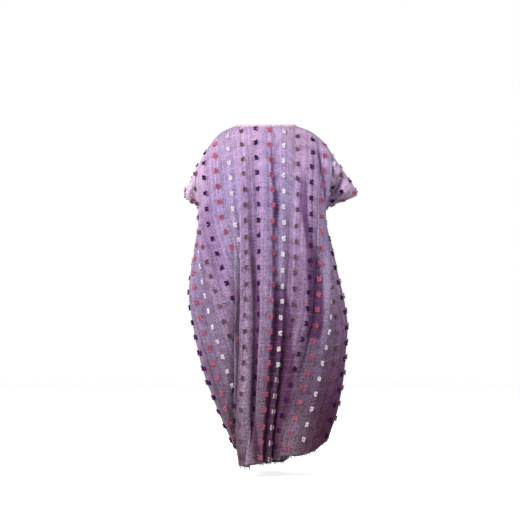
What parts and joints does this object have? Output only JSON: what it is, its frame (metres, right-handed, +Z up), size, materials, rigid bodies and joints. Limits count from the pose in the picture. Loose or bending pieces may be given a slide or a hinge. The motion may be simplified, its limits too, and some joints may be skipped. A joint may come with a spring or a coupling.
{
  "type": "grand boubou robe",
  "caption": "Wide ankle-length gauze robe hanging from the shoulders, with cut-in-one elbow sleeves, a scooped neck and folds down the back.",
  "frame": {"origin": "middle of the shoulder line, level with the top of the neck, where the wearer's shoulders carry the robe", "axes": "+Z up, the wearer faces -Y, +X towards the wearer's left arm"},
  "size_m": [0.7065, 0.4406, 1.4053],
  "materials": {
    "back_gauze": "matte open gauze with rows of cut yarn tufts",
    "front_gauze": "matte open gauze with rows of cut yarn tufts",
    "neck_binding": "matte folded binding"
  },
  "bodies": {
    "root": {"back_yoke": "back_gauze", "back_panel": "back_gauze", "back_skirt": "back_gauze", "front_yoke": "front_gauze", "front_panel": "front_gauze", "front_skirt": "front_gauze", "neck_binding": "neck_binding"}
  },
  "joints": []
}
